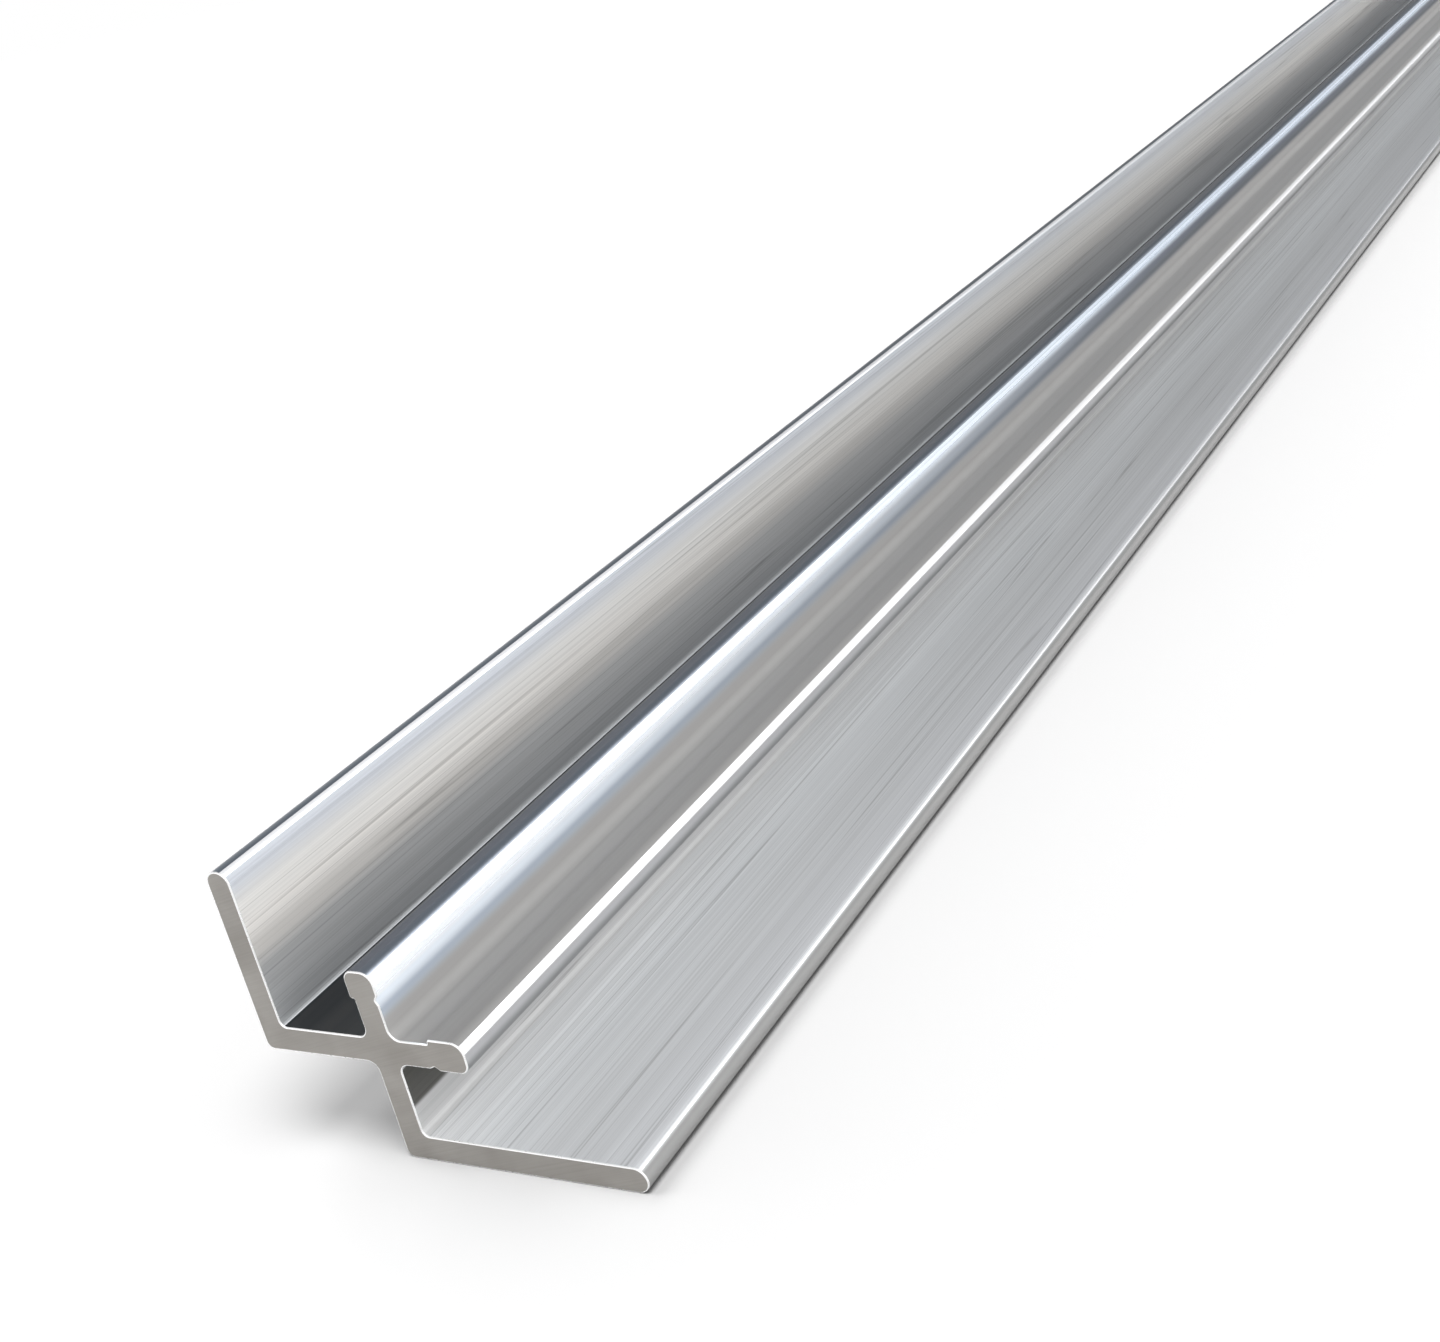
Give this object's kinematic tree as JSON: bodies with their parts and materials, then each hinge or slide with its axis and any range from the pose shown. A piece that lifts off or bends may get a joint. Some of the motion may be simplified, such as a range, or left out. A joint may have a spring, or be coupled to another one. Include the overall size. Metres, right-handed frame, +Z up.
{
  "type": "inside corner trim",
  "caption": "Extruded aluminium bar that trims an inside corner: a board channel opening up, another opening sideways, and two headed lips towards the room.",
  "frame": {"origin": "centre of the bounding box at floor level, on the underside of the base flange and halfway along the bar", "axes": "+Z up from the floor, along the back flange; +X along the base flange, from the back flange to the base flange's tip; +Y along the bar"},
  "size_m": [0.0298, 2.44, 0.0223],
  "materials": {
    "trim": "satin, brushed along its length, with sawn ends"
  },
  "bodies": {
    "root": {"corner_trim": "trim"}
  },
  "joints": []
}
